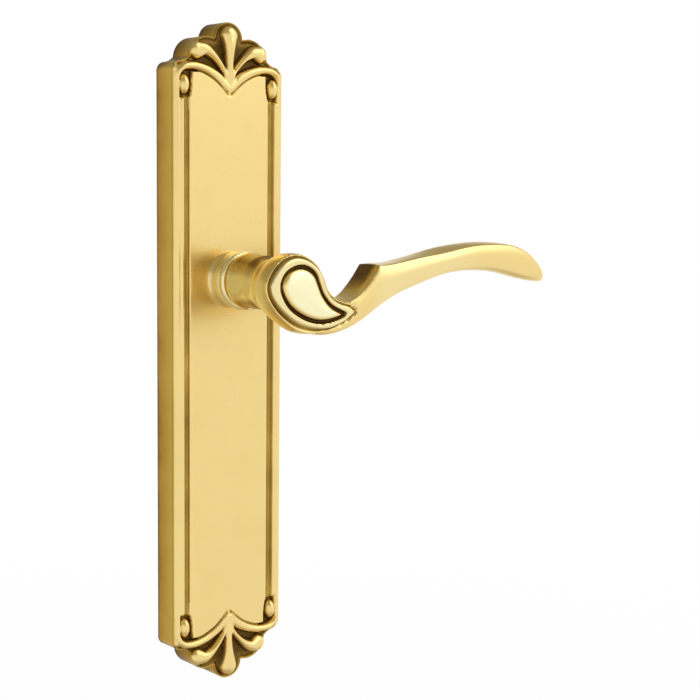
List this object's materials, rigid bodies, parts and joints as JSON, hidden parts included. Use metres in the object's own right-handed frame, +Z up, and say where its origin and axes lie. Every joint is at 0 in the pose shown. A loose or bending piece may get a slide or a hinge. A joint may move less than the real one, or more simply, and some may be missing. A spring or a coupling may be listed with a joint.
{
  "type": "door lever handle on long plate",
  "caption": "Antiqued brass door lever with a drop-shaped head and wave-shaped arm, on a long plate with shell ornament at both ends.",
  "frame": {"origin": "on the spindle axis, in the plane of the door face that the plate's back lies on", "axes": "+Z up along the plate, +Y into the door along the spindle, +X along the lever arm at rest"},
  "size_m": [0.1618, 0.0874, 0.2564],
  "materials": {
    "cast_brass": "satin, antiqued, dark in the recesses",
    "turned_brass": "satin",
    "nylon": "matte",
    "zinc_steel": "zinc plated",
    "black_steel": "black oxide",
    "spring_steel": "oiled"
  },
  "bodies": {
    "plate": {"escutcheon_plate": "cast_brass", "neck_collar": "turned_brass", "bearing_bush": "nylon", "spring_housing": "zinc_steel", "housing_cover": "zinc_steel", "return_spring": "spring_steel", "stop_pins": "zinc_steel", "cassette_pillars": "zinc_steel", "mounting_posts": "turned_brass", "lock_washers": "spring_steel", "housing_screws": "zinc_steel"},
    "lever": {"lever_handle": "cast_brass", "neck_washer": "nylon", "spindle": "zinc_steel", "grub_screw": "black_steel", "drive_cam": "zinc_steel", "dished_washer": "spring_steel", "thrust_washer": "zinc_steel", "retaining_ring": "spring_steel"}
  },
  "joints": [
    {"name": "lever_turn", "type": "hinge", "parent": "plate", "child": "lever", "pos_m": [0, 0, 0], "axis": [0, 1, 0], "range_deg": [0, 45], "stiffness_Nm_per_rad": 1, "springref_deg": -20.05, "deforming": ["return_spring"]}
  ]
}
